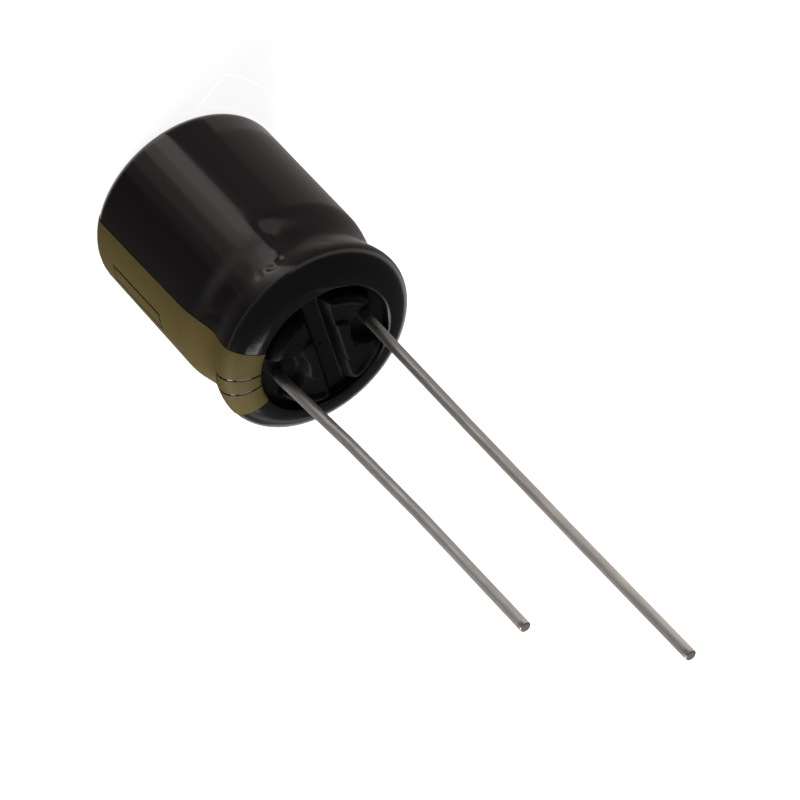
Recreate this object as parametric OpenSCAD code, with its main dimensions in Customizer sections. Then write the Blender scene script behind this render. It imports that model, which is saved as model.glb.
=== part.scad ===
// Radial aluminium electrolytic capacitor in a 10 x 12.5 mm can, leads 5 mm apart.
// It stands on its vented end with the leads up. +Z runs from the vent to the leads,
// +X from the negative to the positive lead, and the origin is the middle of the vented end.

/* [Case] */
// Outside diameter over the shrunk sleeve
case_d = 10.2; // [9.6:0.1:13]
// Height from the vented end to the front of the crimped rim
case_h = 12.7; // [11.5:0.1:25]
// Wall of the drawn aluminium can
can_wall = 0.3; // [0.2:0.05:0.4]
// Outside radius of the corner at the vented end, over the sleeve
corner_r = 0.83; // [0.6:0.01:1.2]

/* [Crimp] */
// Height from the widest point of the rim to its front
rim_h = 1.1; // [0.9:0.05:1.4]
// How far the rim rolls in over the bung
rim_in = 1.42; // [1.2:0.01:1.6]
// From the widest point of the rim down to the middle of the bead
bead_below = 1.47; // [1.2:0.01:1.8]
// Length over which the case necks in towards the bead
bead_run = 2.15; // [1.5:0.05:2.6]
// Depth of the neck, as it shows over the sleeve
bead_dip = 0.31; // [0.15:0.01:0.4]
// Further depth of the rolled bead in the can, which the sleeve bridges
bead_more = 0.25; // [0.1:0.01:0.35]
// Half of the width of the rolled bead
bead_half = 0.75; // [0.6:0.05:1]

/* [Vent] */
// Length of each scored line on the vented end
score_len = 5.6; // [3:0.1:6.4]
// Width of the scored line at the surface
score_w = 0.24; // [0.1:0.02:0.3]
// Depth of the scored line
score_depth = 0.12; // [0.05:0.01:0.16]
// Number of scored lines that cross in the middle
score_count = 2; // [2:1:3]

/* [Sleeve] */
// Wall of the heat-shrink sleeve
sleeve_t = 0.15; // [0.1:0.01:0.2]
// Width of the fold over the vented end, measured from the case side
sleeve_fold = 1.35; // [1.25:0.05:2]
// How far the sleeve turns down past the cut edge of the can
sleeve_lip = 0.12; // [0.05:0.01:0.2]

/* [Polarity stripe] */
// Width of the printed stripe round the case
stripe_w = 4.45; // [3:0.05:6]
// Turn of the stripe's middle from the negative lead
stripe_turn = -5; // [-12:0.5:12]
// Thickness of the printed ink
ink_t = 0.03; // [0.02:0.005:0.04]
// Length of a printed minus mark
dash_len = 4.3; // [3:0.1:5]
// Width of a printed minus mark round the case
dash_w = 1.15; // [0.8:0.05:1.6]
// Width of the line that outlines the mark
dash_line = 0.14; // [0.1:0.01:0.2]
// Height of the first mark above the vented end
dash_start = 2.1; // [1.5:0.1:3]
// Distance from one mark to the next
dash_pitch = 9.35; // [7:0.05:12]

/* [Rubber bung] */
// Thickness of the bung below its raised lands
bung_h = 3.3; // [3.1:0.05:4]
// Height of the pads and islands above the face of the bung
land_h = 0.8; // [0.6:0.05:1.2]
// Height of the web between an island and its pads
web_h = 0.5; // [0.2:0.05:0.55]
// Gap between the pads and the edge of the sleeve
land_gap = 0.41; // [0.1:0.01:0.6]
// Width of the pads, from the rim inwards
pad_w = 0.8; // [0.6:0.05:1]
// Radius of the two islands beside the channel
island_r = 1.6; // [1.3:0.05:1.75]
// Rounding of the edges of pads and islands
land_round = 0.24; // [0.05:0.01:0.3]
// Width of the straight channel across the bung
channel_w = 1; // [0.6:0.05:1.3]
// Radius of the round bay that leaves each lead free, open to the outside
bay_r = 1.1; // [0.8:0.05:1.3]
// Thickness of the rubber that closes round each wire
wire_seal = 0.3; // [0.2:0.05:0.5]

/* [Leads] */
// Distance between the two leads
lead_pitch = 5; // [4.4:0.1:5.4]
// Diameter of a lead
lead_d = 0.6; // [0.5:0.05:0.7]
// Length of the negative lead beyond the rim
lead_short = 19.15; // [5:0.05:30]
// Length of the positive lead beyond the rim
lead_long = 25.25; // [5:0.05:35]
// Diameter of a lead at its root, where the weld has swelled it
root_d = 0.66; // [0.62:0.02:0.8]
// Chamfer of the cut end of a lead
lead_chamfer = 0.06; // [0.02:0.01:0.15]
// Diameter of the aluminium stem that the bung grips
stem_d = 1.3; // [1:0.05:1.5]
// Height of the weld cone between stem and lead
weld_h = 0.2; // [0.1:0.05:0.3]

/* [Wound element] */
// Thickness of the etched anode foil
anode_t = 0.11; // [0.08:0.01:0.13]
// Thickness of the cathode foil
cathode_t = 0.06; // [0.04:0.01:0.08]
// Thickness of each paper separator
separator_t = 0.06; // [0.04:0.01:0.08]
// Film of electrolyte between two layers
film = 0.02; // [0.015:0.005:0.03]
// Thickness of the flattened tab
tab_t = 0.2; // [0.15:0.01:0.25]
// Thickness of the closing tape
tape_t = 0.05; // [0.03:0.01:0.08]
// Radius of the hole that the winding pin leaves
pin_r = 0.7; // [0.6:0.05:1]
// Space between the element and the bung
headroom = 0.6; // [0.4:0.1:1.2]
// How far the separators stand past the foils at each end
overhang = 0.35; // [0.2:0.05:0.5]
// Space between the tape and the wall of the can
element_play = 0.12; // [0.05:0.01:0.2]

/* [Hidden] */
$fn = 96;

// Clearance left between pieces that press on each other
seat = 0.02;
// More than any depth that a cut passes through
past = 1;
// Steps along the corner, the neck and the rim of the case wall
corner_steps = 8;
neck_steps = 22;
rim_steps = 14;

case_r = case_d / 2;
rim_z = case_h - rim_h;
rim_r = case_r - rim_in;
bead_z = rim_z - bead_below;
can_out = sleeve_t + seat;
can_skin = can_out + can_wall;

// The curves of the case wall at a depth below the outside of the sleeve, from the
// corner at the vented end, past the neck, to the front of the rim.
function swell(z, mid, below, above) =
    z <= mid - below || z >= mid + above ? 0
    : (1 + cos(180 * (z - mid) / (z < mid ? below : above))) / 2;
function neck_z(i) = bead_z - bead_run + (bead_run + bead_below) * i / neck_steps;
function corner(depth) =
    let (r = max(corner_r - depth, 0.05))
    [for (i = [0 : corner_steps]) let (a = 90 * i / corner_steps)
        [case_r - depth - r + r * sin(a), depth + r - r * cos(a)]];
function flank(z, depth, more) =
    [case_r - depth - bead_dip * swell(z, bead_z, bead_run, bead_below)
        - more * swell(z, bead_z, bead_half, bead_half), z];
function neck(depth, more) = [for (i = [0 : neck_steps]) flank(neck_z(i), depth, more)];
function rim(depth) =
    [for (i = [1 : rim_steps]) let (a = 90 * i / rim_steps)
        [rim_r + (rim_in - depth) * cos(a), rim_z + (rim_h - depth) * sin(a)]];
function wall(depth, more = 0) = concat(corner(depth), neck(depth, more), rim(depth));
function back(path) = [for (i = [len(path) - 1 : -1 : 0]) path[i]];

// The sleeve's edge bends over the cut edge of the can.
lip_r = rim_r - seat;
lip_top = case_h - sleeve_t;
function lip(depth) =
    [for (i = [1 : corner_steps]) let (a = 90 * i / corner_steps)
        [lip_r - (sleeve_t - depth) * sin(a), lip_top + (sleeve_t - depth) * cos(a)]];

module sleeve() {
    color("#1f1b1d")
    rotate_extrude()
    polygon(concat(
        [[case_r - sleeve_fold, 0]],
        wall(0),
        lip(0),
        [[lip_r - sleeve_t, lip_top - sleeve_lip], [lip_r, lip_top - sleeve_lip], [lip_r, lip_top]],
        back(wall(sleeve_t)),
        [[case_r - sleeve_fold, sleeve_t]]
    ));
}

// The ink lies on the sleeve from the corner to the sleeve's edge. Each minus mark is the
// bare sleeve showing through the ink as a thin outline.
stripe_deg = stripe_w / case_r * 180 / PI;
dash_deg = dash_w / case_r * 180 / PI;
line_deg = dash_line / case_r * 180 / PI;
stripe_mid = 180 + stripe_turn;
stripe_foot = 3;

module sector(from_deg, to_deg) {
    rotate([0, 0, from_deg])
    rotate_extrude(angle = to_deg - from_deg)
    children();
}

function ink_path(depth) =
    let (w = wall(depth))
    concat([for (i = [stripe_foot : len(w) - 1]) w[i]], lip(depth));

module band(half_deg, z0, z1, spare) {
    sector(stripe_mid - half_deg, stripe_mid + half_deg)
    translate([rim_r - past - spare, z0])
    square([rim_in + 2 * (past + spare), z1 - z0]);
}

module dash(z0) {
    z1 = z0 + dash_len;
    difference() {
        band(dash_deg / 2, z0, z1, 0);
        band(dash_deg / 2 - line_deg, z0 + dash_line, z1 - dash_line, past);
    }
}

module polarity_stripe() {
    color("#8f7f42")
    difference() {
        sector(stripe_mid - stripe_deg / 2, stripe_mid + stripe_deg / 2)
        polygon(concat(ink_path(-ink_t), back(ink_path(0))));
        for (z = [dash_start : dash_pitch : case_h - dash_line])
            dash(z);
    }
}

// The can is one drawn cup: scored end, corner, side, rolled bead and curled edge.
module can() {
    color("#c9ccd0")
    difference() {
        rotate_extrude()
        polygon(concat(
            [[0, can_out]],
            wall(can_out, bead_more),
            back(wall(can_skin, bead_more)),
            [[0, can_skin]]
        ));
        for (i = [0 : score_count - 1])
            rotate([0, 0, 45 + 180 * i / score_count])
            translate([-score_len / 2, 0, can_out])
            rotate([90, 0, 90])
            linear_extrude(score_len)
            polygon([[-score_w / 2, 0], [-score_w / 2, -past], [score_w / 2, -past],
                [score_w / 2, 0], [0, score_depth]]);
    }
}

// The bung fills the can from below the bead to the curled edge, and carries the lands
// that hold it clear of a circuit board: two islands beside a straight channel, four pads
// near the rim, and a low web between them. A bay lies open round each lead.
face_z = case_h - can_skin - seat;
bung_z = face_z - bung_h;
web_z = face_z + web_h;
land_z = face_z + land_h;
land_r = lip_r - sleeve_t - land_gap;
pad_in_r = land_r - pad_w;
stem_top = face_z - wire_seal - weld_h;

function rounded(r, z, from_deg, to_deg) =
    [for (i = [0 : 4]) let (a = from_deg + (to_deg - from_deg) * i / 4)
        [r + land_round * cos(a), z - land_round + land_round * sin(a)]];

module bung_body() {
    rotate_extrude()
    polygon(concat(
        [[0, bung_z], flank(bung_z, can_skin + seat, bead_more)],
        [for (p = wall(can_skin + seat, bead_more)) if (p.y > bung_z) p],
        [[land_r, face_z]],
        rounded(land_r - land_round, land_z, 0, 90),
        rounded(pad_in_r + land_round, land_z, 90, 180),
        [[pad_in_r, web_z], [0, web_z]]
    ));
}

module island() {
    rotate_extrude()
    polygon(concat(
        [[0, face_z - bung_h / 2], [island_r, face_z - bung_h / 2]],
        rounded(island_r - land_round, land_z, 0, 90),
        [[0, land_z]]
    ));
}

// One lead's bay, round at its inner end and open to the outside.
module bay() {
    cylinder(r = bay_r, h = land_h + past);
    translate([0, -bay_r, 0])
        cube([land_r, 2 * bay_r, land_h + past]);
}

module rubber_bung() {
    color("#2a2a2c")
    difference() {
        union() {
            bung_body();
            island();
        }
        for (side = [0, 180])
            rotate([0, 0, side])
            translate([lead_pitch / 2, 0, face_z])
            bay();
        translate([-channel_w / 2, -case_r, face_z])
            cube([channel_w, case_d, land_h + past]);
        for (side = [-1, 1])
            translate([side * lead_pitch / 2, 0, bung_z - past]) {
                cylinder(r = root_d / 2 + seat, h = bung_h + 2 * past, $fn = 48);
                cylinder(r = stem_d / 2 + seat, h = past + stem_top + weld_h - bung_z, $fn = 48);
            }
    }
}

// Each lead is a tinned wire, butt-welded to the end of its aluminium tab. It tapers from
// its thicker welded end to its plain part, which starts level with the lands.
module lead(length) {
    r = lead_d / 2;
    foot = stem_top + weld_h;
    tip = case_h + length;
    color("#a9a8a2") {
        translate([0, 0, foot])
            cylinder(r1 = root_d / 2, r2 = r, h = land_z - foot, $fn = 48);
        translate([0, 0, land_z])
            cylinder(r = r, h = tip - lead_chamfer - land_z, $fn = 48);
        translate([0, 0, tip - lead_chamfer])
            cylinder(r1 = r, r2 = r - lead_chamfer, h = lead_chamfer, $fn = 48);
    }
}

module lead_positive() {
    translate([lead_pitch / 2, 0, 0]) lead(lead_long);
}

module lead_negative() {
    translate([-lead_pitch / 2, 0, 0]) lead(lead_short);
}

// The element is wound from four strips, from the pin outwards: separator, anode foil,
// separator, cathode foil. Each layer lies one film from the next, and every layer outside
// a tab bulges over it. All strips share the same steps, so their flats stay parallel.
turn_steps = 20;
layer_t = [separator_t, anode_t, separator_t, cathode_t];
strip_count = len(layer_t);
function stack(j) = j == 0 ? 0 : stack(j - 1) + layer_t[j - 1] + film;
wind = stack(strip_count - 1) + cathode_t + film;
element_z = can_skin + seat;
element_top = bung_z - headroom;
element_r = case_r - can_skin - element_play - tape_t;
tab_room = tab_t + film;
turns = floor((element_r - tab_room - film - pin_r) / wind - 1);
last_step = turns * turn_steps;

// A tab lies flat on its foil at the step where the winding comes closest to its lead.
function host_step(strip, half) =
    let (free = lead_pitch / 2 - tab_t / 2 - pin_r - stack(strip) - layer_t[strip])
    turn_steps * round(free / wind - half) + turn_steps * half;
anode_strip = 1;
cathode_strip = 3;
anode_step = host_step(anode_strip, 0);
cathode_step = host_step(cathode_strip, 0.5);

function bulge(step, strip, host, host_strip) =
    let (
        outside = step > host + (strip > host_strip ? -turn_steps / 2 : turn_steps / 2),
        turn = (step - host) % turn_steps,
        away = abs(turn > turn_steps / 2 ? turn - turn_steps : turn < -turn_steps / 2 ? turn + turn_steps : turn)
    )
    !outside || away > 3 ? 0 : away == 3 ? tab_room / 2 : tab_room;
function layer_r(step, strip) =
    pin_r + wind * step / turn_steps + stack(strip)
    + bulge(step, strip, anode_step, anode_strip)
    + bulge(step, strip, cathode_step, cathode_strip);
function at(step, r) = r * [cos(360 * step / turn_steps), sin(360 * step / turn_steps)];

module wound(strip, t, first, last, z0, z1) {
    translate([0, 0, z0])
    linear_extrude(z1 - z0)
    polygon(concat(
        [for (s = [first : last]) at(s, layer_r(s, strip))],
        [for (s = [last : -1 : first]) at(s, layer_r(s, strip) + t)]
    ));
}

module foil(strip) {
    wound(strip, layer_t[strip], 0, last_step, element_z + overhang, element_top - overhang);
}

module separator(strip) {
    color("#d9d2bd")
    wound(strip, separator_t, 0, last_step, element_z, element_top);
}

module anode_foil() {
    color("#8c8f92") foil(anode_strip);
}

module cathode_foil() {
    color("#b3b6b8") foil(cathode_strip);
}

module separator_inner() {
    separator(0);
}

module separator_outer() {
    separator(2);
}

module element_tape() {
    color("#b9a56a")
    wound(0, tape_t, last_step + 1, last_step + turn_steps + 1, element_z + overhang, element_top - overhang);
}

// The tab is an aluminium wire: a round stem in the bung, pressed flat where it lies in
// the winding, with a weld cone on top that carries the lead.
tab_foot = overhang + 1;
taper_h = headroom * 0.6;

module tab(strip, host) {
    under = layer_t[strip] + film;
    side = host % turn_steps == 0 ? 1 : -1;
    color("#c2c4c6") {
        translate([0, 0, element_z + tab_foot])
        linear_extrude(bung_z - element_z - tab_foot)
        polygon(concat(
            [for (k = [-1 : 1]) at(host + k, layer_r(host + k, strip) + under)],
            [for (k = [1 : -1 : -1]) at(host + k, layer_r(host + k, strip) + under + tab_t)]
        ));
        translate([side * lead_pitch / 2, 0, 0]) {
            translate([0, 0, bung_z - taper_h])
                cylinder(r1 = tab_t, r2 = stem_d / 2, h = taper_h, $fn = 48);
            translate([0, 0, bung_z])
                cylinder(r = stem_d / 2, h = stem_top - bung_z, $fn = 48);
            translate([0, 0, stem_top])
                cylinder(r1 = stem_d / 2, r2 = root_d / 2, h = weld_h, $fn = 48);
        }
    }
}

module tab_positive() {
    tab(anode_strip, anode_step);
}

module tab_negative() {
    tab(cathode_strip, cathode_step);
}

sleeve();
polarity_stripe();
can();
rubber_bung();
lead_positive();
lead_negative();
tab_positive();
tab_negative();
anode_foil();
cathode_foil();
separator_inner();
separator_outer();
element_tape();
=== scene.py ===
"""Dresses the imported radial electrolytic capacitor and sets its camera, floor and light.

The capacitor stands on its vented end with the leads up. Sizes are in millimetres here and
become metres where a mesh is made. Angles round the case are measured from the positive lead.
"""
from __future__ import annotations

import logging
import math
from dataclasses import dataclass, field
from enum import Enum
from typing import Any

import bmesh
import bpy
import numpy as np
from mathutils import Matrix, Vector

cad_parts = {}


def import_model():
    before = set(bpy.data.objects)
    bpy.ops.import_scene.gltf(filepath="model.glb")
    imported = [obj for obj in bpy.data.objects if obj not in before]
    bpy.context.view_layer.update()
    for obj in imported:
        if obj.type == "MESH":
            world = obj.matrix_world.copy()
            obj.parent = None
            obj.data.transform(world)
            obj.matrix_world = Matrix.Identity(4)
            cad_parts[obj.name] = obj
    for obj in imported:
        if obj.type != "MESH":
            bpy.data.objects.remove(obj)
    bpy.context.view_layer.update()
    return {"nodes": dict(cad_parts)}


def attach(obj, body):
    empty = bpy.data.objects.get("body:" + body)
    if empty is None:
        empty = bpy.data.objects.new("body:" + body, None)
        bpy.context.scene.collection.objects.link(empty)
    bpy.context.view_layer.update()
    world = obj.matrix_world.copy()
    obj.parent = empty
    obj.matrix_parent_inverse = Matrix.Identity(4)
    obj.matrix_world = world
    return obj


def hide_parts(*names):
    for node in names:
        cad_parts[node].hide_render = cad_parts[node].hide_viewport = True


LOG = logging.getLogger("capacitor")
MM = 0.001
PHOTO_PX = 800
SENSOR_MM = 36.0
# Points nearer than this, in metres, are one.
MERGE_M = 1e-7

# Noise of a finish: detail of its patches and grain, and the noise values that span its roughness.
PATCH_DETAIL = 4.0
PATCH_ROUGHNESS = 0.55
PATCH_SPAN = (0.3, 0.7)
GRAIN_DETAIL = 3.0

# Direction of the camera round the case, in degrees, and the light it sees from the table.
VIEW_AZIMUTH = 105.0
VIEW_LIFT = 0.88
# Table paper: its two whites, what it shows to other rays than the camera's, and its specks.
PAPER_WHITES = ("#e9e9e9", "#ededed")
PAPER_UNSEEN = "#2a2a2a"
PAPER_SPECKS_PER_M = 900.0
PAPER_ROUGHNESS = 0.9
TABLE_LIGHT = "#fff5f1"
PLAIN_WHITE = "#ffffff"


def linear(hex_colour: str) -> tuple[float, float, float, float]:
    """Turns an sRGB colour into linear light.

    Args:
        hex_colour: the colour as #rrggbb.

    Returns:
        Red, green, blue and an alpha of 1.
    """
    parts = [int(hex_colour[i:i + 2], 16) / 255 for i in (1, 3, 5)]
    light = [p / 12.92 if p <= 0.04045 else ((p + 0.055) / 1.055) ** 2.4 for p in parts]
    return light[0], light[1], light[2], 1.0


def add_node(tree: bpy.types.NodeTree, kind: str, inputs: dict[Any, Any] | None = None,
             **settings: Any) -> bpy.types.Node:
    """Adds one node to a tree.

    Args:
        tree: the shader or geometry tree.
        kind: the node's type name.
        inputs: a value or a socket to link, for each input by name or number.
        **settings: the node's own properties.

    Returns:
        The new node.
    """
    node = tree.nodes.new(kind)
    for name, value in settings.items():
        setattr(node, name, value)
    for key, value in (inputs or {}).items():
        if isinstance(value, bpy.types.NodeSocket):
            tree.links.new(value, node.inputs[key])
        else:
            node.inputs[key].default_value = value
    return node


class Grain(Enum):
    """How the fine pattern of a finish runs."""

    EVEN = (1.0, 1.0, 1.0)
    ALONG_AXIS = (1.0, 1.0, 0.04)
    ROUND_AXIS = (0.06, 0.06, 1.0)


@dataclass(frozen=True)
class Finish:
    """A finish of one real material, built as a shader tree.

    The colour drifts between two tones over patch_mm, the roughness between two values over
    the same patches, and a bump of grain_mm gives the fine surface.
    """

    name: str
    tone: str
    second_tone: str
    roughness: tuple[float, float]
    patch_mm: float
    grain_mm: float
    bump: float
    grain: Grain = Grain.EVEN
    metallic: float = 0.0
    ior: float = 1.5
    specular: float = 0.5

    def build(self) -> bpy.types.Material:
        """Makes the material.

        Returns:
            The material, with its nodes.
        """
        material = bpy.data.materials.new(self.name)
        material.use_nodes = True
        tree = material.node_tree
        shader = tree.nodes["Principled BSDF"]
        place = add_node(tree, "ShaderNodeTexCoord").outputs["Object"]
        patches = add_node(tree, "ShaderNodeTexNoise", {
            "Vector": place, "Scale": 1 / (self.patch_mm * MM), "Detail": PATCH_DETAIL,
            "Roughness": PATCH_ROUGHNESS})
        tones = add_node(tree, "ShaderNodeMix", {
            "Factor": patches.outputs["Fac"], "A": linear(self.tone),
            "B": linear(self.second_tone)}, data_type="RGBA")
        drift = add_node(tree, "ShaderNodeMapRange", {
            "Value": patches.outputs["Fac"], "From Min": PATCH_SPAN[0], "From Max": PATCH_SPAN[1],
            "To Min": self.roughness[0], "To Max": self.roughness[1]})
        run = add_node(tree, "ShaderNodeVectorMath", {
            0: place, 1: self.grain.value}, operation="MULTIPLY")
        fine = add_node(tree, "ShaderNodeTexNoise", {
            "Vector": run.outputs["Vector"], "Scale": 1 / (self.grain_mm * MM),
            "Detail": GRAIN_DETAIL})
        relief = add_node(tree, "ShaderNodeBump", {
            "Height": fine.outputs["Fac"], "Strength": self.bump,
            "Distance": self.grain_mm * MM})
        tree.links.new(tones.outputs["Result"], shader.inputs["Base Color"])
        tree.links.new(drift.outputs["Result"], shader.inputs["Roughness"])
        tree.links.new(relief.outputs["Normal"], shader.inputs["Normal"])
        shader.inputs["Metallic"].default_value = self.metallic
        if not self.metallic:
            shader.inputs["IOR"].default_value = self.ior
        shader.inputs["Specular IOR Level"].default_value = self.specular
        return material


# Shrunk PET film: tight and dark, a soft gloss with faint draw lines along the case.
SHRUNK_FILM = Finish("shrunk_pet_film", "#0b0a0a", "#0e0c0c", (0.16, 0.2), 2.5, 0.5, 0.02,
                     Grain.ALONG_AXIS)
# Printed ink on the film: olive gold, flatter than the film, slightly mottled.
GOLD_INK = Finish("printed_gold_ink", "#685b32", "#72653a", (0.42, 0.5), 0.8, 0.12, 0.1,
                  ior=1.2)
# Moulded butyl rubber: satin black with a fine mould grain.
MOULDED_RUBBER = Finish("moulded_butyl_rubber", "#0c0c0c", "#100f0f", (0.42, 0.52), 0.7, 0.06,
                        0.15, ior=1.2)
# Tinned steel wire: dull silver with draw lines along the wire.
TINNED_WIRE = Finish("tinned_drawn_wire", "#d2d2ce", "#bebebb", (0.34, 0.46), 1.6, 0.09, 0.25,
                     Grain.ALONG_AXIS, metallic=1.0)
# Sheared wire end: the bare steel core, dull and torn.
SHEARED_END = Finish("sheared_steel_core", "#a9988f", "#988980", (0.6, 0.7), 0.25, 0.05, 0.5,
                     metallic=0.2)
# Deep-drawn aluminium cup: satin, faint lines round the axis where the tool ironed it.
DRAWN_CUP = Finish("drawn_aluminium_cup", "#c6c8cb", "#b4b7ba", (0.28, 0.38), 3.0, 0.08, 0.15,
                   Grain.ROUND_AXIS, metallic=1.0)
# Pressed aluminium tab wire: brighter, with press marks.
PRESSED_TAB = Finish("pressed_aluminium_tab", "#d0d2d4", "#b9bbbe", (0.3, 0.4), 0.8, 0.05, 0.2,
                     Grain.ALONG_AXIS, metallic=1.0)
# Etched and formed foil: matt mid grey, because the pits trap light.
FORMED_FOIL = Finish("formed_etched_foil", "#7b7d80", "#6c6e71", (0.6, 0.72), 1.0, 0.03, 0.3,
                     metallic=0.8)
# Etched cathode foil: lighter and a little smoother than the formed foil.
ETCHED_FOIL = Finish("etched_cathode_foil", "#a5a8ab", "#94979a", (0.5, 0.62), 1.0, 0.03, 0.25,
                     metallic=0.9)
# Soaked kraft tissue: warm off-white, damp sheen, long fibres round the winding.
SOAKED_TISSUE = Finish("soaked_kraft_tissue", "#cfc5a8", "#bfb493", (0.4, 0.55), 0.9, 0.07, 0.3,
                       Grain.ROUND_AXIS, specular=0.4)
# Polypropylene closing tape: amber, smooth, calendered.
CLOSING_TAPE = Finish("calendered_pp_tape", "#b89f5a", "#a98f4c", (0.25, 0.35), 2.0, 0.2, 0.05)


@dataclass(frozen=True)
class WallSteps:
    """How finely each stretch of the case wall is stepped."""

    corner: int
    side: int
    neck: int
    rim: int


@dataclass(frozen=True)
class CaseForm:
    """The curves of the case wall, which sleeve and ink share at their own depths."""

    radius: float = 5.1
    height: float = 12.7
    corner: float = 0.83
    rim_height: float = 1.1
    rim_in: float = 1.42
    bead_below: float = 1.47
    bead_run: float = 2.15
    bead_dip: float = 0.31
    film: float = 0.15
    seat: float = 0.02
    fold: float = 1.35
    lip_drop: float = 0.12
    lip_width: float = 0.15
    least_turn: float = 0.05
    lip_steps: int = 6

    @property
    def rim_z(self) -> float:
        """Height of the widest point of the rim."""
        return self.height - self.rim_height

    @property
    def bead_z(self) -> float:
        """Height of the middle of the bead."""
        return self.rim_z - self.bead_below

    @property
    def rim_r(self) -> float:
        """Radius at which the rim has turned flat."""
        return self.radius - self.rim_in

    def dip(self, z: float) -> float:
        """Depth of the neck at a height.

        Args:
            z: the height, in millimetres.

        Returns:
            The depth, in millimetres.
        """
        run = self.bead_run if z < self.bead_z else self.bead_below
        away = abs(z - self.bead_z) / run
        return 0.0 if away >= 1 else self.bead_dip * (1 + math.cos(math.pi * away)) / 2

    def wall(self, depth: float, steps: WallSteps) -> list[tuple[float, float]]:
        """Points of the wall from the vented end over the rim.

        Args:
            depth: distance below the sleeve's outside; negative stands proud.
            steps: how finely the wall is stepped.

        Returns:
            Radius and height of each point, in millimetres.
        """
        turn = max(self.corner - depth, self.least_turn)
        points = []
        for i in range(steps.corner + 1):
            a = math.pi / 2 * i / steps.corner
            points.append((self.radius - depth - turn + turn * math.sin(a),
                           depth + turn - turn * math.cos(a)))
        start = self.bead_z - self.bead_run
        for i in range(1, steps.side + 1):
            z = self.corner + (start - self.corner) * i / steps.side
            points.append((self.radius - depth, z))
        for i in range(1, steps.neck + 1):
            z = start + (self.rim_z - start) * i / steps.neck
            points.append((self.radius - depth - self.dip(z), z))
        for i in range(1, steps.rim + 1):
            a = math.pi / 2 * i / steps.rim
            points.append((self.rim_r + (self.rim_in - depth) * math.cos(a),
                           self.rim_z + (self.rim_height - depth) * math.sin(a)))
        return points

    def lip(self, depth: float) -> list[tuple[float, float]]:
        """Points of the sleeve's edge, where it bends over the can's cut edge.

        Args:
            depth: distance below the sleeve's outside; negative stands proud.

        Returns:
            Radius and height of each point, in millimetres.
        """
        turn = self.film - depth
        top = self.height - self.film
        count = self.lip_steps
        return [(self.rim_r - self.seat - turn * math.sin(math.pi / 2 * i / count),
                 top + turn * math.cos(math.pi / 2 * i / count)) for i in range(1, count + 1)]


def plain_mesh(name: str, points: list, faces: list) -> bpy.types.Object:
    """Makes an object from points in millimetres.

    Args:
        name: the object's name.
        points: places of the vertices, in millimetres.
        faces: vertex numbers of each face.

    Returns:
        The object, linked to the scene.
    """
    mesh = bpy.data.meshes.new(name)
    mesh.from_pydata([tuple(c * MM for c in p) for p in points], [], faces)
    mesh.validate()
    piece = bpy.data.objects.new(name, mesh)
    bpy.context.scene.collection.objects.link(piece)
    return piece


def faced_outward(piece: bpy.types.Object, smooth_deg: float = 35.0) -> bpy.types.Object:
    """Turns all faces outward and shades smooth up to an angle.

    Args:
        piece: the object whose mesh is finished.
        smooth_deg: edges sharper than this stay crisp.

    Returns:
        The same object.
    """
    work = bmesh.new()
    work.from_mesh(piece.data)
    bmesh.ops.remove_doubles(work, verts=work.verts, dist=MERGE_M)
    bmesh.ops.recalc_face_normals(work, faces=work.faces)
    for face in work.faces:
        face.smooth = True
    for edge in work.edges:
        if len(edge.link_faces) == 2:
            edge.smooth = edge.calc_face_angle(0.0) < math.radians(smooth_deg)
    work.to_mesh(piece.data)
    work.free()
    return piece


class NodeShape:
    """A mesh made by a Geometry Nodes tree that the script builds."""

    def __init__(self, name: str) -> None:
        """Starts an empty tree with a geometry input and output.

        Args:
            name: name of the tree.
        """
        self.name = name
        self.tree = bpy.data.node_groups.new(name, "GeometryNodeTree")
        self.sockets: dict[str, str] = {}
        face = self.tree.interface
        face.new_socket("Geometry", in_out="INPUT", socket_type="NodeSocketGeometry")
        face.new_socket("Geometry", in_out="OUTPUT", socket_type="NodeSocketGeometry")

    def takes(self, **kinds: str) -> bpy.types.Node:
        """Adds named inputs.

        Args:
            **kinds: the socket type of each input, by its name.

        Returns:
            The node that holds them.
        """
        for label, kind in kinds.items():
            socket = self.tree.interface.new_socket(
                label.replace("_", " "), in_out="INPUT", socket_type=kind)
            self.sockets[label] = socket.identifier
        return add_node(self.tree, "NodeGroupInput")

    def ends(self, geometry: bpy.types.NodeSocket, material: bpy.types.NodeSocket) -> None:
        """Closes the tree with real instances and the piece's material.

        Args:
            geometry: the finished shape.
            material: the input that holds the material.
        """
        real = add_node(self.tree, "GeometryNodeRealizeInstances", {"Geometry": geometry})
        dressed = add_node(self.tree, "GeometryNodeSetMaterial", {
            "Geometry": real.outputs["Geometry"], "Material": material})
        add_node(self.tree, "NodeGroupOutput", {"Geometry": dressed.outputs["Geometry"]})

    def make(self, name: str, seed: bpy.types.Mesh, values: dict[str, Any]) -> bpy.types.Object:
        """Runs the tree once and keeps its result as a plain mesh.

        Args:
            name: the new object's name.
            seed: the mesh that goes into the tree.
            values: a value for each named input.

        Returns:
            The object, linked to the scene, with no modifier left.
        """
        piece = bpy.data.objects.new(name, seed)
        bpy.context.scene.collection.objects.link(piece)
        modifier = piece.modifiers.new(self.name, "NODES")
        modifier.node_group = self.tree
        for label, value in values.items():
            modifier[self.sockets[label]] = value
        bpy.context.view_layer.update()
        graph = bpy.context.evaluated_depsgraph_get()
        result = bpy.data.meshes.new_from_object(piece.evaluated_get(graph))
        piece.modifiers.clear()
        piece.data = result
        piece.data.name = name
        return piece


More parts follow.
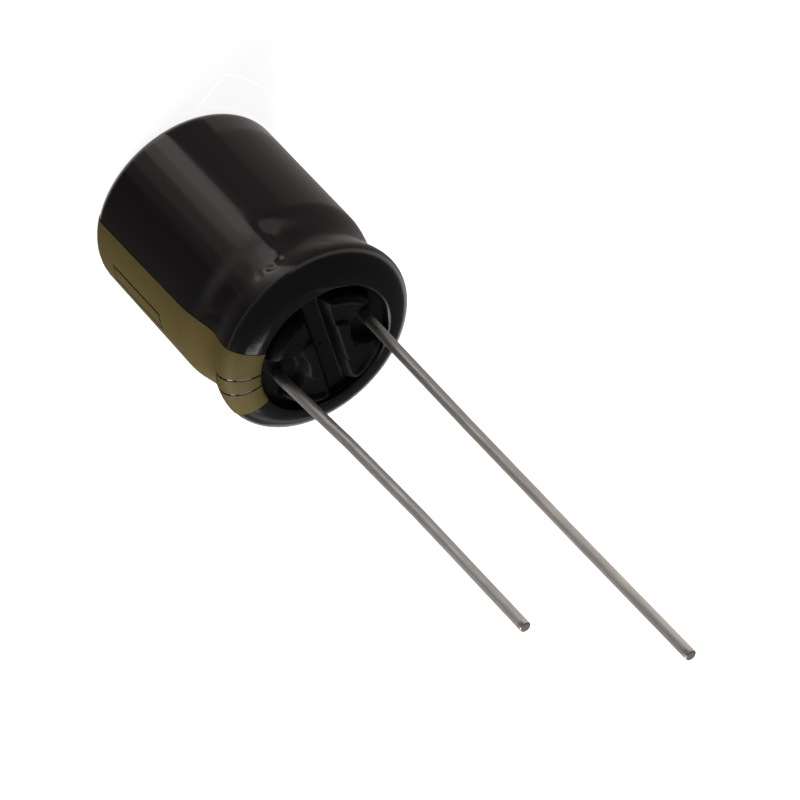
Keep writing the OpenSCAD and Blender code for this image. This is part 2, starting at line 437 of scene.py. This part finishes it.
class TurnedSkin(NodeShape):
    """A closed outline turned round the axis, as film is shrunk round a can."""

    def __init__(self) -> None:
        """Builds the tree: a grid whose columns take the outline's points."""
        super().__init__("turned_skin")
        t = self.tree
        given = self.takes(Outline_points="NodeSocketInt", Steps_around="NodeSocketInt",
                           Material="NodeSocketMaterial")
        rows = add_node(t, "ShaderNodeMath", {0: given.outputs["Outline points"], 1: 1.0},
                        operation="ADD")
        cols = add_node(t, "ShaderNodeMath", {0: given.outputs["Steps around"], 1: 1.0},
                        operation="ADD")
        grid = add_node(t, "GeometryNodeMeshGrid", {
            "Size X": 1.0, "Size Y": 1.0,
            "Vertices X": rows.outputs[0], "Vertices Y": cols.outputs[0]})
        spot = add_node(t, "ShaderNodeSeparateXYZ", {
            0: add_node(t, "GeometryNodeInputPosition").outputs[0]})
        along = add_node(t, "ShaderNodeMath", {0: spot.outputs["X"], 1: 0.5}, operation="ADD")
        reach = add_node(t, "ShaderNodeMath", {
            0: along.outputs[0], 1: given.outputs["Outline points"]}, operation="MULTIPLY")
        row = add_node(t, "ShaderNodeMath", {0: reach.outputs[0]}, operation="ROUND")
        wrapped = add_node(t, "ShaderNodeMath", {
            0: row.outputs[0], 1: given.outputs["Outline points"]}, operation="FLOORED_MODULO")
        outline = add_node(t, "GeometryNodeSampleIndex", {
            "Geometry": given.outputs["Geometry"],
            "Value": add_node(t, "GeometryNodeInputPosition").outputs[0],
            "Index": wrapped.outputs[0]}, data_type="FLOAT_VECTOR", domain="POINT")
        share = add_node(t, "ShaderNodeMath", {0: spot.outputs["Y"], 1: 0.5}, operation="ADD")
        angle = add_node(t, "ShaderNodeMath", {0: share.outputs[0], 1: 2 * math.pi},
                         operation="MULTIPLY")
        turned = add_node(t, "ShaderNodeVectorRotate", {
            "Vector": outline.outputs["Value"], "Angle": angle.outputs[0]},
            rotation_type="Z_AXIS")
        placed = add_node(t, "GeometryNodeSetPosition", {
            "Geometry": grid.outputs["Mesh"], "Position": turned.outputs["Vector"]})
        closed = add_node(t, "GeometryNodeMergeByDistance", {
            "Geometry": placed.outputs["Geometry"], "Distance": MERGE_M})
        self.ends(closed.outputs["Geometry"], given.outputs["Material"])

    def turn(self, name: str, outline: list[tuple[float, float]], around: int,
             material: bpy.types.Material) -> bpy.types.Object:
        """Turns an outline of radius and height points.

        Args:
            name: the new object's name.
            outline: closed outline, in millimetres, without its first point again.
            around: steps round the axis.
            material: the finish of the whole piece.

        Returns:
            The turned piece.
        """
        seed = bpy.data.meshes.new(name + "_outline")
        seed.from_pydata([(r * MM, 0.0, z * MM) for r, z in outline], [], [])
        return self.make(name, seed, {
            "Outline_points": len(outline), "Steps_around": around, "Material": material})


class DrawnWire(NodeShape):
    """A round wire along a gently bowed path, with a trimmed tip."""

    sides: int = 40

    def __init__(self) -> None:
        """Builds the tree: a seed path, swept with a circle and closed at both ends."""
        super().__init__("drawn_wire")
        t = self.tree
        given = self.takes(Wire_radius="NodeSocketFloat", Sides="NodeSocketInt",
                           Material="NodeSocketMaterial")
        path = add_node(t, "GeometryNodeMeshToCurve", {"Mesh": given.outputs["Geometry"]})
        taper = add_node(t, "GeometryNodeInputNamedAttribute", {"Name": "taper"},
                         data_type="FLOAT")
        ring = add_node(t, "GeometryNodeCurvePrimitiveCircle", {
            "Resolution": given.outputs["Sides"], "Radius": given.outputs["Wire radius"]})
        swept = add_node(t, "GeometryNodeCurveToMesh", {
            "Curve": path.outputs["Curve"], "Profile Curve": ring.outputs["Curve"],
            "Scale": taper.outputs["Attribute"], "Fill Caps": True})
        self.ends(swept.outputs["Mesh"], given.outputs["Material"])

    def draw(self, name: str, path: list[tuple[float, float, float]], taper: list[float],
             radius: float, material: bpy.types.Material) -> bpy.types.Object:
        """Sweeps the wire along a path.

        Args:
            name: the new object's name.
            path: places along the wire, in millimetres.
            taper: share of the full radius at each place.
            radius: radius of the wire, in millimetres.
            material: the wire's finish.

        Returns:
            The wire.
        """
        seed = bpy.data.meshes.new(name + "_path")
        seed.from_pydata([tuple(c * MM for c in p) for p in path],
                         [(i, i + 1) for i in range(len(path) - 1)], [])
        seed.attributes.new("taper", "FLOAT", "POINT").data.foreach_set("value", taper)
        return self.make(name, seed, {
            "Wire_radius": radius * MM, "Sides": self.sides, "Material": material})


@dataclass(frozen=True)
class Dent:
    """A soft dent, or a swell where its depth is negative, that the shrinking leaves in the film.

    The slant turns it by degrees per millimetre of height, and far_share narrows its far half.
    """

    angle: float
    z: float
    half_angle: float
    half_z: float
    depth: float
    slant: float = 0.0
    far_share: float = 1.0

    def at(self, angle: np.ndarray, z: np.ndarray) -> np.ndarray:
        """Radial move at each place.

        Args:
            angle: angles round the case, in degrees.
            z: heights, in millimetres.

        Returns:
            Moves in millimetres, negative inwards.
        """
        away_z = z - self.z
        away_a = (angle - self.angle - self.slant * away_z + 180) % 360 - 180
        half = self.half_angle * np.where(away_a > 0, self.far_share, 1.0)
        return -self.depth * np.exp(-(away_a / half) ** 2 - (away_z / self.half_z) ** 2)


@dataclass
class ShrunkSleeve:
    """The heat-shrink sleeve, with the small puckers beside the neck.

    The puckers lie outside the curled rim: the film keeps its form up to still_rim outside the
    radius at which the rim has turned flat.
    """

    form: CaseForm
    around: int = 360
    still_rim: float = 0.3
    outside_steps: WallSteps = WallSteps(corner=12, side=26, neck=44, rim=26)
    inside_steps: WallSteps = WallSteps(corner=6, side=6, neck=22, rim=14)
    dents: tuple[Dent, ...] = (
        # The flat dimple below the neck, steep on its far side.
        Dent(angle=84.5, z=9.0, half_angle=9.0, half_z=0.75, depth=0.15, slant=-1.0,
             far_share=0.28),
        # The loops that the gathered film makes in the neck above it.
        Dent(angle=88.0, z=10.15, half_angle=3.5, half_z=0.22, depth=-0.05, slant=6.0),
        Dent(angle=90.0, z=10.75, half_angle=2.2, half_z=0.2, depth=0.07, slant=4.0),
        Dent(angle=97.0, z=10.8, half_angle=2.4, half_z=0.22, depth=0.07, slant=-5.0),
        Dent(angle=104.0, z=10.7, half_angle=2.6, half_z=0.3, depth=0.04, slant=3.0),
        # Faint creases beside the stripe and to both sides of the loops.
        Dent(angle=137.0, z=10.2, half_angle=2.2, half_z=0.5, depth=0.05, slant=-3.0),
        Dent(angle=143.0, z=10.0, half_angle=1.8, half_z=0.45, depth=-0.03, slant=-3.0),
        Dent(angle=118.0, z=10.7, half_angle=1.5, half_z=0.4, depth=0.035, slant=2.0),
        Dent(angle=62.0, z=10.9, half_angle=3.0, half_z=0.25, depth=0.03, slant=-3.0),
    )

    def outline(self) -> list[tuple[float, float]]:
        """Draws the closed outline of the film: outside, edge, inside and the fold's edge.

        Returns:
            Radius and height of each point, in millimetres.
        """
        f = self.form
        outside = f.wall(0.0, self.outside_steps) + f.lip(0.0)
        edge_z = f.height - f.film - f.lip_drop
        inner_r = f.rim_r - f.seat
        edge = [(inner_r - f.lip_width, edge_z), (inner_r, edge_z),
                (inner_r, f.height - f.film)]
        inside = f.wall(f.film, self.inside_steps)[::-1]
        fold_r = f.radius - f.fold
        return [(fold_r, 0.0)] + outside + edge + inside + [(fold_r, f.film)]

    def build(self, skin: TurnedSkin, material: bpy.types.Material) -> bpy.types.Object:
        """Turns the film and presses its puckers in.

        Args:
            skin: the tree that turns an outline.
            material: the film's finish.

        Returns:
            The finished sleeve.
        """
        sleeve = skin.turn("sleeve_film", self.outline(), self.around, material)
        count = len(sleeve.data.vertices)
        places = np.empty(count * 3, np.float32)
        sleeve.data.vertices.foreach_get("co", places)
        places = places.reshape(-1, 3) / MM
        radius = np.hypot(places[:, 0], places[:, 1])
        angle = np.degrees(np.arctan2(places[:, 1], places[:, 0]))
        move = sum(d.at(angle, places[:, 2]) for d in self.dents)
        move = np.where(radius > self.form.rim_r + self.still_rim, move, 0.0)
        places[:, :2] *= (1 + move / radius)[:, None]
        sleeve.data.vertices.foreach_set("co", (places * MM).astype(np.float32).ravel())
        return faced_outward(sleeve, smooth_deg=50.0)


@dataclass
class PrintedStripe:
    """The olive gold ink, with minus marks where the bare film shows as an outline.

    Lengths along the wall run from the vented end over neck and rim. The veer gives the angle of
    the stripe's middle at such lengths. The ink starts at first_point of the stepped wall, and an
    edge of a mark that falls within least_share of a step from a point takes that point.
    """

    form: CaseForm
    ink: float = 0.03
    width: float = 4.45
    mark_length: float = 4.3
    mark_width: float = 1.15
    line: float = 0.14
    mark_starts: tuple[float, ...] = (2.1, 11.45)
    veer: tuple[tuple[float, float], ...] = (
        (0.0, 176.5), (4.2, 175.5), (9.5, 173.5), (11.2, 171.5), (14.0, 167.5))
    column_deg: float = 1.6
    first_point: int = 3
    steps: WallSteps = WallSteps(corner=8, side=60, neck=60, rim=26)
    least_share: float = 0.02

    def middle(self, run: float) -> float:
        """Angle of the stripe's middle at a distance along the wall."""
        return float(np.interp(run, [v[0] for v in self.veer], [v[1] for v in self.veer]))

    def half_angles(self) -> tuple[float, float, float]:
        """Half the stripe, half a mark and a whole line, as angles round the case."""
        to_deg = math.degrees(1 / self.form.radius)
        return self.width / 2 * to_deg, self.mark_width / 2 * to_deg, self.line * to_deg

    def columns(self) -> list[float]:
        """Spaces the columns across the stripe, with the edges of the lines among them.

        Returns:
            The angles from the stripe's middle.
        """
        half, mark, line = self.half_angles()
        cuts = [-half, -mark, -mark + line, mark - line, mark, half]
        across: list[float] = []
        for a, b in zip(cuts, cuts[1:]):
            steps = max(1, round((b - a) / self.column_deg))
            across += [a + (b - a) * i / steps for i in range(steps)]
        return across + [half]

    def path(self, depth: float) -> list[tuple[float, float]]:
        """Points of the wall that the stripe follows, from the corner to the film's edge."""
        wall = self.form.wall(depth, self.steps)
        return wall[self.first_point:] + self.form.lip(depth)

    def is_bare(self, across: float, run: float) -> bool:
        """Tells whether a place lies in the open line of a mark.

        Args:
            across: angle from the stripe's middle.
            run: distance along the wall.

        Returns:
            True where the film stays bare.
        """
        _, mark, line = self.half_angles()
        for start in self.mark_starts:
            end = start + self.mark_length
            if abs(across) < mark and start < run < end:
                inside = start + self.line < run < end - self.line
                return not (abs(across) < mark - line and inside)
        return False

    def with_mark_edges(self, low: list, high: list) -> tuple[list, list]:
        """Adds path points where the lines of the marks begin and end.

        Args:
            low: points on the film.
            high: points on top of the ink.

        Returns:
            Both lists with the added points.
        """
        edges = sorted(e for start in self.mark_starts
                       for end in (start + self.mark_length,)
                       for e in (start, start + self.line, end - self.line, end))
        new_low, new_high, run = [low[0]], [high[0]], low[0][1]
        for k in range(1, len(low)):
            (r0, z0), (r1, z1) = low[k - 1], low[k]
            step = math.hypot(r1 - r0, z1 - z0)
            for edge in edges:
                t = (edge - run) / step
                if self.least_share < t < 1 - self.least_share:
                    for source, out in ((low, new_low), (high, new_high)):
                        (ra, za), (rb, zb) = source[k - 1], source[k]
                        out.append((ra + (rb - ra) * t, za + (zb - za) * t))
            run += step
            new_low.append(low[k])
            new_high.append(high[k])
        return new_low, new_high

    def ring_points(self, r: float, z: float, run: float, across: list[float]) -> list[Vector]:
        """Places across the stripe at one point of the wall.

        Args:
            r: radius of the point, in millimetres.
            z: height of the point, in millimetres.
            run: distance of the point along the wall.
            across: angles from the stripe's middle.

        Returns:
            One place for each angle, in metres.
        """
        angles = [math.radians(self.middle(run) + a) for a in across]
        return [Vector((r * math.cos(a), r * math.sin(a), z)) * MM for a in angles]

    def build(self, material: bpy.types.Material) -> bpy.types.Object:
        """Lays the ink on the film as a thin closed shell with open lines.

        Args:
            material: the ink's finish.

        Returns:
            The printed stripe.
        """
        across = self.columns()
        low, high = self.with_mark_edges(self.path(0.0), self.path(-self.ink))
        run = [low[0][1]]
        for (r0, z0), (r1, z1) in zip(low, low[1:]):
            run.append(run[-1] + math.hypot(r1 - r0, z1 - z0))
        has_ink = [[not self.is_bare((a + b) / 2, (s + t) / 2) for a, b in zip(across, across[1:])]
                   for s, t in zip(run, run[1:])]
        work = bmesh.new()
        bottom, top = ([[work.verts.new(place) for place in self.ring_points(r, z, s, across)]
                        for (r, z), s in zip(path, run)] for path in (low, high))
        close_film(work, bottom, top, has_ink)
        mesh = bpy.data.meshes.new("printed_stripe")
        work.to_mesh(mesh)
        work.free()
        mesh.materials.append(material)
        stripe = bpy.data.objects.new("printed_stripe", mesh)
        bpy.context.scene.collection.objects.link(stripe)
        return faced_outward(stripe)


def close_film(work: bmesh.types.BMesh, bottom: list, top: list, has_ink: list) -> None:
    """Adds the faces of a thin film between two layers of points.

    Args:
        work: the mesh that holds the points.
        bottom: rows of points under the film.
        top: rows of points on the film.
        has_ink: for each cell of four points, whether the film covers it.
    """
    # Each side of a cell: its two corners, and the step to the cell beyond it.
    sides = (((0, 0), (0, 1), (-1, 0)), ((1, 1), (1, 0), (1, 0)),
             ((1, 0), (0, 0), (0, -1)), ((0, 1), (1, 1), (0, 1)))
    covered = {(i, j) for i, row in enumerate(has_ink) for j, ink in enumerate(row) if ink}
    for i, j in sorted(covered):
        ring = [(i, j), (i, j + 1), (i + 1, j + 1), (i + 1, j)]
        work.faces.new([top[a][b] for a, b in ring])
        work.faces.new([bottom[a][b] for a, b in reversed(ring)])
        for (a0, b0), (a1, b1), (di, dj) in sides:
            if (i + di, j + dj) not in covered:
                p, q = (i + a0, j + b0), (i + a1, j + b1)
                work.faces.new([bottom[p[0]][p[1]], bottom[q[0]][q[1]],
                                top[q[0]][q[1]], top[p[0]][p[1]]])
    for vert in [v for v in work.verts if not v.link_faces]:
        work.verts.remove(vert)


def soft_least(parts: list[np.ndarray], softness: float) -> np.ndarray:
    """Smallest of several depths, rounded where two are alike.

    Args:
        parts: depth inside each boundary.
        softness: radius of the rounding.

    Returns:
        The rounded smallest depth.
    """
    total = sum(np.exp(-p / softness) for p in parts)
    return -softness * np.log(total)


@dataclass
class MouldedBung:
    """The rubber bung, whose moulded face stands through the crimped rim.

    Two islands beside a straight channel and four pads at the rim are joined by a lower web, and
    a round bay leaves each lead free. Moulded rubber has drafted walls and soft edges, so the
    relief is a height over the face, worked out from the depth inside each outline. A share of
    each draft, draft_start, lies outside its outline. The neck presses the rubber in by
    bead_press, and middle_r keeps the turned outline off the axis.
    """

    form: CaseForm
    face_z: float = 12.21
    depth: float = 3.3
    land: float = 0.8
    web: float = 0.62
    outer_r: float = 3.12
    pad_in_r: float = 2.5
    island_r: float = 1.78
    channel: float = 1.0
    bay_r: float = 1.12
    offset_x: float = 0.1
    draft: float = 0.34
    corner: float = 0.16
    draft_start: float = 0.4
    can_gap: float = 0.49
    bead_press: float = 0.25
    bead_half: float = 0.4
    face_margin: float = 0.3
    face_tolerance: float = 0.01
    middle_r: float = 0.02
    lead_pitch: float = 5.0
    ring_step: float = 0.035
    around: int = 360
    wall_steps: WallSteps = WallSteps(corner=2, side=2, neck=30, rim=20)

    def rise(self, depth: np.ndarray) -> np.ndarray:
        """Share of a land's height at a depth inside its outline."""
        share = np.clip(depth / self.draft + self.draft_start, 0.0, 1.0)
        return share * share * (3 - 2 * share)

    def relief(self, x: np.ndarray, y: np.ndarray) -> np.ndarray:
        """Gives the height of the moulded face above the bung's flat face.

        Args:
            x: places along the line of the leads, in millimetres.
            y: places across it, in millimetres.

        Returns:
            The height at each place, in millimetres.
        """
        across = np.abs(x - self.offset_x)
        r = np.hypot(across, y)
        past_lead = np.minimum(across - self.lead_pitch / 2, 0.0)
        free = soft_least([self.outer_r - r, across - self.channel / 2,
                           np.hypot(past_lead, y) - self.bay_r], self.corner)
        island = soft_least([free, self.island_r - r], self.corner)
        pad = soft_least([free, r - self.pad_in_r], self.corner)
        tops = self.land * np.maximum(self.rise(island), self.rise(pad))
        return np.maximum(tops, self.web * self.rise(free))

    def body_outline(self) -> list[tuple[float, float]]:
        """Draws the closed outline of the bung inside the can's wall, with a finely stepped face.

        Returns:
            Radius and height of each point, in millimetres.
        """
        f = self.form
        foot = self.face_z - self.depth
        wall = [(r - self.bead_press * math.exp(-((z - f.bead_z) / self.bead_half) ** 2), z)
                for r, z in f.wall(self.can_gap, self.wall_steps) if z > foot]
        face_r = self.outer_r + self.face_margin
        rings = round(face_r / self.ring_step) - 1
        face = [(face_r - self.ring_step * i, self.face_z) for i in range(rings)]
        return [(self.middle_r, foot), (wall[0][0], foot)] + wall + face

    def build(self, skin: TurnedSkin, material: bpy.types.Material) -> bpy.types.Object:
        """Turns the bung and raises the lands out of its face.

        Args:
            skin: the tree that turns an outline.
            material: the rubber.

        Returns:
            The finished bung.
        """
        bung = skin.turn("moulded_bung", self.body_outline(), self.around, material)
        places = np.empty(len(bung.data.vertices) * 3, np.float32)
        bung.data.vertices.foreach_get("co", places)
        places = places.reshape(-1, 3) / MM
        on_face = places[:, 2] > self.face_z - self.face_tolerance
        places[:, 2] += np.where(on_face, self.relief(places[:, 0], places[:, 1]), 0.0)
        bung.data.vertices.foreach_set("co", (places * MM).astype(np.float32).ravel())
        return faced_outward(bung, smooth_deg=80.0)


@dataclass
class WireLead:
    """One tinned lead, from its weld in the bung to its trimmed tip.

    The bow gives heights and how far the wire leans there toward the other lead. The trim form
    gives the share of the trim still to go and the share of the wire's radius there. A face that
    points up by more than end_facing is the sheared end.
    """

    name: str
    x: float
    tip_z: float
    bow: tuple[tuple[float, float], ...]
    foot_z: float = 11.91
    radius: float = 0.275
    root_radius: float = 0.3
    wire_z: float = 13.0
    path_steps: int = 70
    trim: float = 0.06
    trim_form: tuple[tuple[float, float], ...] = ((0.6, 0.95), (0.25, 0.87), (0.0, 0.78))
    end_facing: float = 0.7

    def build(self, wire: DrawnWire, material: bpy.types.Material,
              core: bpy.types.Material) -> bpy.types.Object:
        """Draws the lead.

        Args:
            wire: the tree that sweeps a wire.
            material: the tinned finish.
            core: the bare metal of the trimmed end.

        Returns:
            The lead.
        """
        heights = list(np.linspace(self.foot_z, self.tip_z - self.trim, self.path_steps))
        swell = self.root_radius / self.radius
        taper = list(np.interp(heights, [self.foot_z, self.wire_z], [swell, 1.0]))
        for to_go, share in self.trim_form:
            heights.append(self.tip_z - self.trim * to_go)
            taper.append(share)
        inward = -1 if self.x > 0 else 1
        known_z, known_bow = zip(*self.bow)
        path = [(self.x + inward * float(np.interp(z, known_z, known_bow)), 0.0, z)
                for z in heights]
        lead = faced_outward(wire.draw(self.name, path, taper, self.radius, material))
        lead.data.materials.append(core)
        for face in lead.data.polygons:
            if face.normal.z > self.end_facing:
                face.material_index = 1
                face.use_smooth = False
        return lead


@dataclass(frozen=True)
class PhotoCamera:
    """The photograph's viewpoint, fitted to outline, rim and leads."""

    place: tuple[float, float, float] = (-42.963, 160.341, 139.545)
    right: tuple[float, float, float] = (0.81075, -0.19725, 0.55116)
    down: tuple[float, float, float] = (-0.54528, -0.59697, 0.58847)
    focal_px: float = 4500.0

    def build(self) -> bpy.types.Object:
        """Sets the scene's camera.

        Returns:
            The camera object.
        """
        data = bpy.data.cameras.new("photo_camera")
        data.sensor_width = SENSOR_MM
        data.lens = self.focal_px / PHOTO_PX * SENSOR_MM
        data.clip_start, data.clip_end = 0.001, 10.0
        camera = bpy.data.objects.new("photo_camera", data)
        right = Vector(self.right).normalized()
        up = -(Vector(self.down) - Vector(self.down).dot(right) * right).normalized()
        turn = Matrix((right, up, right.cross(up))).transposed().to_4x4()
        camera.matrix_world = Matrix.Translation(Vector(self.place) * MM) @ turn
        bpy.context.scene.collection.objects.link(camera)
        bpy.context.scene.camera = camera
        return camera


@dataclass(frozen=True)
class SoftLamp:
    """One soft box, placed round the capacitor."""

    name: str
    azimuth: float
    elevation: float
    distance: float
    size: tuple[float, float]
    power: float
    aim_z: float = 12.0

    def build(self) -> bpy.types.Object:
        """Hangs the lamp, facing the case.

        Returns:
            The lamp object.
        """
        data = bpy.data.lights.new(self.name, "AREA")
        data.shape = "RECTANGLE"
        data.size, data.size_y = (s * MM for s in self.size)
        data.energy = self.power
        lamp = bpy.data.objects.new(self.name, data)
        a, e = math.radians(self.azimuth), math.radians(self.elevation)
        way = Vector((math.cos(a) * math.cos(e), math.sin(a) * math.cos(e), math.sin(e)))
        target = Vector((0, 0, self.aim_z * MM))
        lamp.location = target + way * self.distance * MM
        lamp.rotation_euler = (-way).to_track_quat("-Z", "Y").to_euler()
        bpy.context.scene.collection.objects.link(lamp)
        return lamp


def table_paper(name: str, glow: float) -> bpy.types.Material:
    """White table paper that keeps its shadows and gives the object light from below.

    Args:
        name: name of the material.
        glow: light that the object gets from it; the camera sees plain white.

    Returns:
        The material.
    """
    material = bpy.data.materials.new(name)
    material.use_nodes = True
    tree = material.node_tree
    shader = tree.nodes["Principled BSDF"]
    place = add_node(tree, "ShaderNodeTexCoord").outputs["Object"]
    fibre = add_node(tree, "ShaderNodeTexNoise", {
        "Vector": place, "Scale": PAPER_SPECKS_PER_M})
    paper = add_node(tree, "ShaderNodeMix", {
        "Factor": fibre.outputs["Fac"], "A": linear(PAPER_WHITES[0]),
        "B": linear(PAPER_WHITES[1])}, data_type="RGBA")
    seen = add_node(tree, "ShaderNodeLightPath").outputs["Is Camera Ray"]
    tone = add_node(tree, "ShaderNodeMix", {
        "Factor": seen, "A": linear(PAPER_UNSEEN), "B": paper.outputs["Result"]},
        data_type="RGBA")
    tree.links.new(tone.outputs["Result"], shader.inputs["Base Color"])
    shader.inputs["Roughness"].default_value = PAPER_ROUGHNESS
    strength = add_node(tree, "ShaderNodeMix", {"Factor": seen, "A": glow, "B": VIEW_LIFT},
                        data_type="FLOAT")
    warmth = add_node(tree, "ShaderNodeMix", {
        "Factor": seen, "A": linear(TABLE_LIGHT), "B": linear(PLAIN_WHITE)}, data_type="RGBA")
    light = add_node(tree, "ShaderNodeEmission", {
        "Color": warmth.outputs["Result"], "Strength": strength.outputs["Result"]})
    both = add_node(tree, "ShaderNodeAddShader", {
        0: shader.outputs["BSDF"], 1: light.outputs["Emission"]})
    tree.links.new(both.outputs["Shader"], tree.nodes["Material Output"].inputs["Surface"])
    return material


@dataclass(frozen=True)
class TableCard:
    """A card on the table beside the case, given by the part of the wall that mirrors it.

    It starts near the wall's foot and ends at its reach, both measured along the mirrored way. Its
    glow is painted light that the film mirrors; the camera sees plain white table there.
    """

    name: str
    wall_from: float
    wall_to: float
    glow: float
    near: float = 0.06
    reach: float = 34.0
    foot_r: float = 5.1
    lies_at: float = 0.03
    cuts: int = 9

    def build(self) -> bpy.types.Object:
        """Cuts the card and lays it on the table.

        Returns:
            The card.
        """
        near, far = [], []
        for a in np.radians(np.linspace(self.wall_from, self.wall_to, self.cuts)):
            out = 2 * a - math.radians(VIEW_AZIMUTH)
            for row, run in ((near, self.near), (far, self.reach)):
                row.append((self.foot_r * math.cos(a) + run * math.cos(out),
                            self.foot_r * math.sin(a) + run * math.sin(out), self.lies_at))
        count = len(near)
        faces = [(i, i + count, i + count + 1, i + 1) for i in range(count - 1)]
        card = plain_mesh(self.name, near + far, faces)
        card.data.materials.append(table_paper(self.name, self.glow))
        return card


@dataclass
class Studio:
    """Table, cards, lamps and world of a plain product photograph."""

    floor_half: float = 1500.0
    world: float = 0.12
    table_glow: float = 0.8
    # Each card's glow is painted light that the film mirrors in its highlight band and dark
    # stretches.
    cards: tuple[TableCard, ...] = (
        TableCard("foot_card", 20.0, 66.0, glow=0.5, reach=2.2, lies_at=0.05),
        TableCard("mid_glow_card", 20.0, 66.0, glow=0.31, reach=11.5),
        TableCard("far_card", 20.0, 88.5, glow=0.2, near=11.5),
        TableCard("shaded_card", 66.0, 88.5, glow=0.22, reach=11.5),
        TableCard("bright_panel", 88.5, 97.0, glow=1.3),
        TableCard("panel_edge", 97.0, 103.5, glow=0.9),
        TableCard("panel_spill", 103.5, 112.0, glow=0.4),
        TableCard("dim_card", 112.0, 119.0, glow=0.2),
        TableCard("low_glow_card", 119.0, 185.0, glow=0.1),
        TableCard("far_shade", 92.0, 185.0, glow=0.08, near=50.0, reach=600.0),
    )
    lamps: tuple[SoftLamp, ...] = (
        SoftLamp("left_box", azimuth=205.0, elevation=12.0, distance=260.0,
                 size=(200.0, 80.0), power=0.36),
        SoftLamp("back_box", azimuth=238.0, elevation=45.0, distance=320.0,
                 size=(200.0, 200.0), power=0.4),
        SoftLamp("back_strip", azimuth=250.0, elevation=14.0, distance=300.0,
                 size=(300.0, 60.0), power=0.03),
    )

    def build(self) -> None:
        """Lays the floor, hangs the lamps and sets the world."""
        h = self.floor_half
        floor = plain_mesh("backdrop_floor", [(-h, -h, 0), (h, -h, 0), (h, h, 0), (-h, h, 0)],
                           [(0, 1, 2, 3)])
        floor.data.materials.append(table_paper("white_table_paper", self.table_glow))
        for card in self.cards:
            card.build()
        for lamp in self.lamps:
            lamp.build()
        world = bpy.data.worlds.new("studio_world")
        world.use_nodes = True
        shade = world.node_tree.nodes["Background"]
        shade.inputs["Color"].default_value = linear(PLAIN_WHITE)
        shade.inputs["Strength"].default_value = self.world
        bpy.context.scene.world = world
        bpy.context.scene.view_settings.view_transform = "Standard"


@dataclass
class FilledCan:
    """The can and what it holds, which keep their solids and get real finishes."""

    finishes: dict[str, Finish] = field(default_factory=lambda: {
        "can": DRAWN_CUP, "tab_positive": PRESSED_TAB, "tab_negative": PRESSED_TAB,
        "anode_foil": FORMED_FOIL, "cathode_foil": ETCHED_FOIL,
        "separator_inner": SOAKED_TISSUE, "separator_outer": SOAKED_TISSUE,
        "element_tape": CLOSING_TAPE})

    def dress(self, nodes: dict[str, bpy.types.Object],
              materials: dict[str, bpy.types.Material]) -> None:
        """Gives each carried-over solid its finish.

        Args:
            nodes: the frame's solids by name.
            materials: the built finishes by name.
        """
        for name, finish in self.finishes.items():
            slots = nodes[name].data.materials
            if not slots:
                slots.append(materials[finish.name])
            for i in range(len(slots)):
                slots[i] = materials[finish.name]
            LOG.info("dressed %s in %s", name, finish.name)


def place_piece(piece: bpy.types.Object, node: str) -> None:
    """Hands one finished piece to the frame.

    Args:
        piece: the object, at the origin.
        node: the solid that it stands for.
    """
    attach(piece, "root")
    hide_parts(node)
    LOG.info("%s: %d faces, stands for %s", piece.name, len(piece.data.polygons), node)


def main() -> None:
    """Builds the capacitor's looks and its studio."""
    logging.basicConfig(level=logging.INFO, format="%(name)s: %(message)s")
    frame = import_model()
    finishes = (SHRUNK_FILM, GOLD_INK, MOULDED_RUBBER, TINNED_WIRE, SHEARED_END, DRAWN_CUP,
                PRESSED_TAB, FORMED_FOIL, ETCHED_FOIL, SOAKED_TISSUE, CLOSING_TAPE)
    materials = {f.name: f.build() for f in finishes}
    form = CaseForm()
    skin, wire = TurnedSkin(), DrawnWire()

    sleeve = ShrunkSleeve(form).build(skin, materials[SHRUNK_FILM.name])
    place_piece(sleeve, "sleeve")
    stripe = PrintedStripe(form).build(materials[GOLD_INK.name])
    place_piece(stripe, "polarity_stripe")
    bung = MouldedBung(form).build(skin, materials[MOULDED_RUBBER.name])
    place_piece(bung, "rubber_bung")
    leads = (
        (WireLead("positive_wire", x=2.5, tip_z=37.95,
                  bow=((13.0, 0.0), (21.0, 0.015), (30.0, -0.04), (37.95, -0.13))),
         "lead_positive"),
        (WireLead("negative_wire", x=-2.5, tip_z=31.85,
                  bow=((13.0, 0.0), (18.0, 0.29), (23.5, 0.46), (31.85, 0.55))),
         "lead_negative"),
    )
    for lead, node in leads:
        drawn = lead.build(wire, materials[TINNED_WIRE.name], materials[SHEARED_END.name])
        place_piece(drawn, node)
    FilledCan().dress(frame["nodes"], materials)

    Studio().build()
    PhotoCamera().build()


if __name__ == "__main__":
    main()
